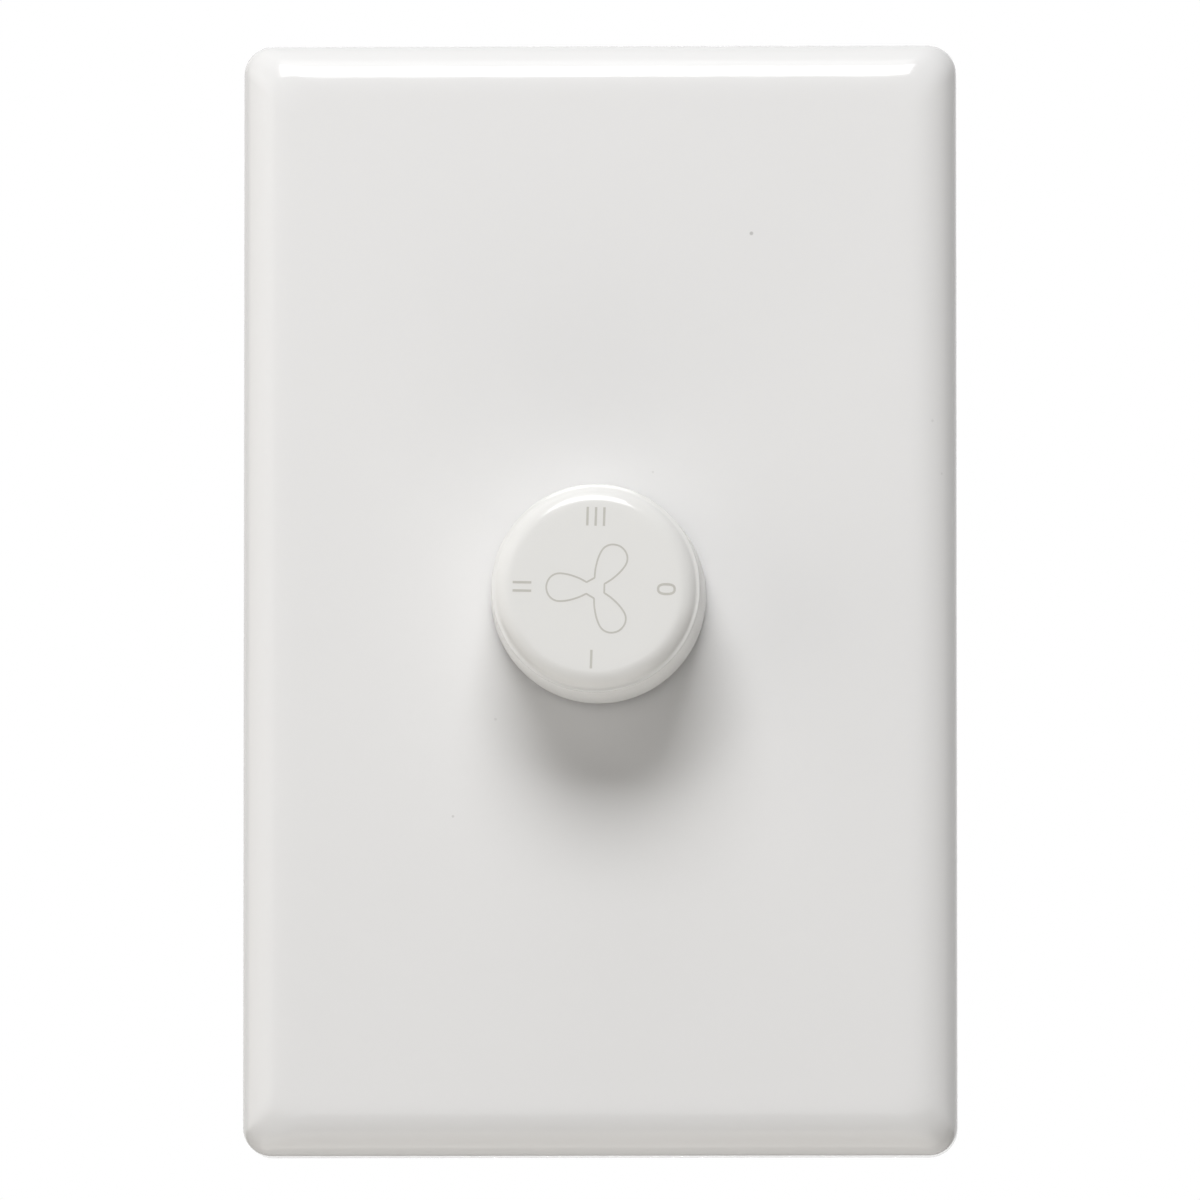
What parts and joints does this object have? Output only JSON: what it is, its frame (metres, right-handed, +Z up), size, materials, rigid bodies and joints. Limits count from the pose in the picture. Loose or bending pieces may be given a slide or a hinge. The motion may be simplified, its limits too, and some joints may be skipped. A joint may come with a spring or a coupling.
{
  "type": "fan speed control switch",
  "caption": "Upright wall plate with soft rounded edges and a round central knob that turns between stops to set a ceiling fan's speed, with a terminal housing behind.",
  "frame": {"origin": "on the wall's face, midway between the two fixing screws, on the knob's axis", "axes": "+Z up the wall, -Y out of the wall towards the user, +X to the user's right"},
  "size_m": [0.075, 0.0563, 0.117],
  "materials": {
    "white_gloss": "polished white moulding",
    "white_matte": "fine white moulding",
    "housing_plastic": "spark-eroded grey moulding",
    "switch_plastic": "natural nylon",
    "steel": "zinc plated",
    "plated_steel": "yellowed zinc plate",
    "brass": "turned and pressed",
    "board": "coated laminate",
    "capacitor_case": "moulded case",
    "resistor_body": "lacquered"
  },
  "bodies": {
    "base": {"cover_plate": "white_gloss", "grid_plate": "white_matte", "rear_housing": "housing_plastic", "housing_screws": "steel", "switch_frame": "steel", "bush_nut": "brass", "switch_base": "switch_plastic", "fixed_contacts": "brass", "common_contact": "brass", "circuit_board": "board", "capacitor_large": "capacitor_case", "capacitor_small": "capacitor_case", "bleed_resistors": "resistor_body", "terminal_tunnels": "brass", "terminal_screws": "plated_steel"},
    "dial": {"knob": "white_gloss", "spindle": "steel", "retaining_ring": "steel", "rotor": "switch_plastic", "wiper": "brass", "detent_spring": "brass", "detent_roller": "steel"}
  },
  "joints": [
    {"name": "knob_turn", "type": "hinge", "parent": "base", "child": "dial", "pos_m": [0, 0, 0], "axis": [0, -1, 0], "range_deg": [-180, 90]}
  ]
}
